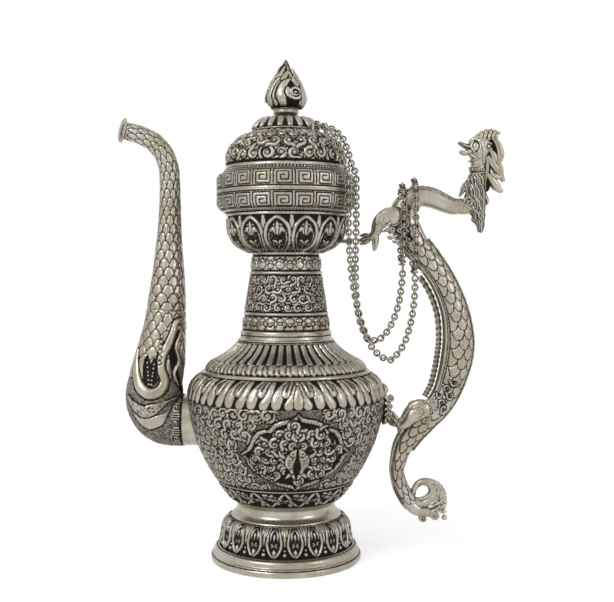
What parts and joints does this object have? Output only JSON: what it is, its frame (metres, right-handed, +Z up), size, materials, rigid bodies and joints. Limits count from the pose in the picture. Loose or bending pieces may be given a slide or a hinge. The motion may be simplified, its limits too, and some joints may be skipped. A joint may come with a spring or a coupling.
{
  "type": "ewer with a dragon handle and a chained lid",
  "caption": "Embossed silver ewer with a lotus foot, scaled spout, coiling dragon handle, lift-off domed lid and a link chain from lid to handle.",
  "frame": {"origin": "centre of the foot's underside, on the axis of the pot", "axes": "+Z up along the pot's axis, +X from the axis towards the handle, -X towards the spout"},
  "size_m": [0.2329, 0.118, 0.3],
  "materials": {
    "silver": "aged, embossed",
    "dark_silver": "blackened"
  },
  "bodies": {
    "ewer": {"foot_flange": "silver", "lotus_foot": "silver", "foot_collar": "silver", "belly": "silver", "shoulder_ring": "silver", "shoulder_cone": "silver", "neck_root_ring": "silver", "neck_tube": "silver", "neck_ring_low": "silver", "neck_ring_high": "silver", "lotus_cup": "silver", "cup_bead_ring": "silver", "mouth_drum": "silver", "spout_saddle": "silver", "spout_collar": "silver", "spout_bulb": "silver", "spout_tube": "silver", "spout_lip": "silver", "dragon_body": "silver", "belly_strip": "silver", "back_ridge": "silver", "dragon_head": "silver", "dragon_horns": "dark_silver", "dragon_jaw": "silver", "dragon_mane": "dark_silver", "fore_leg_near": "silver", "fore_leg_far": "silver", "hind_leg_near": "silver", "hind_leg_far": "silver", "tail_finial": "silver", "cup_bracket": "dark_silver", "bracket_rivets": "silver", "belly_rosette": "silver", "chain_loop_outer": "silver", "chain_loop_inner": "silver"},
    "lid": {"lid_sleeve": "silver", "lid_skirt": "silver", "lid_bead_ring": "silver", "lid_dome": "silver", "lid_crown": "silver", "finial_stem": "silver", "finial_bud": "silver", "finial_washer": "silver", "lid_staple": "silver", "chain_lid_outer": "silver", "chain_lid_inner": "silver"},
    "chain_outer_right": {"chain_outer_right": "silver"},
    "chain_outer_bend": {"chain_outer_bend": "silver"},
    "chain_outer_left": {"chain_outer_left": "silver"},
    "chain_inner_right": {"chain_inner_right": "silver"},
    "chain_inner_bend": {"chain_inner_bend": "silver"},
    "chain_inner_left": {"chain_inner_left": "silver"}
  },
  "joints": [
    {"name": "lid_lift", "type": "slide", "parent": "ewer", "child": "lid", "axis": [0, 0, 1], "range_m": [0, 0.012]},
    {"name": "outer_right_hinge", "type": "hinge", "parent": "ewer", "child": "chain_outer_right", "pos_m": [0.0772, -0.00672, 0.17319], "axis": [0.4428, -0.8966, 0], "range_deg": [-13.03, 0.5]},
    {"name": "outer_bend_hinge", "type": "hinge", "parent": "chain_outer_right", "child": "chain_outer_bend", "pos_m": [0.07428, -0.00816, 0.14104], "axis": [0.4428, -0.8966, 0], "range_deg": [-6.97, 0.5]},
    {"name": "outer_left_hinge", "type": "hinge", "parent": "chain_outer_bend", "child": "chain_outer_left", "pos_m": [0.05075, -0.01978, 0.12894], "axis": [0.4428, -0.8966, 0], "range_deg": [-0.5, 11.59]},
    {"name": "inner_right_hinge", "type": "hinge", "parent": "ewer", "child": "chain_inner_right", "pos_m": [0.07, -0.00672, 0.17819], "axis": [0.3725, -0.928, 0], "range_deg": [-14.46, 0.5]},
    {"name": "inner_bend_hinge", "type": "hinge", "parent": "chain_inner_right", "child": "chain_inner_bend", "pos_m": [0.06605, -0.0083, 0.14927], "axis": [0.3725, -0.928, 0], "range_deg": [-11.37, 0.5]},
    {"name": "inner_left_hinge", "type": "hinge", "parent": "chain_inner_bend", "child": "chain_inner_left", "pos_m": [0.04465, -0.01689, 0.14105], "axis": [0.3725, -0.928, 0], "range_deg": [-0.5, 16.72]}
  ],
  "couplings": [
    {"joint": "outer_right_hinge", "follows": "lid_lift", "rad_per_m": -18.221},
    {"joint": "outer_bend_hinge", "follows": "lid_lift", "rad_per_m": -9.4098},
    {"joint": "outer_left_hinge", "follows": "lid_lift", "rad_per_m": 16.126},
    {"joint": "inner_right_hinge", "follows": "lid_lift", "rad_per_m": -20.301},
    {"joint": "inner_bend_hinge", "follows": "lid_lift", "rad_per_m": -15.81},
    {"joint": "inner_left_hinge", "follows": "lid_lift", "rad_per_m": 23.586}
  ]
}
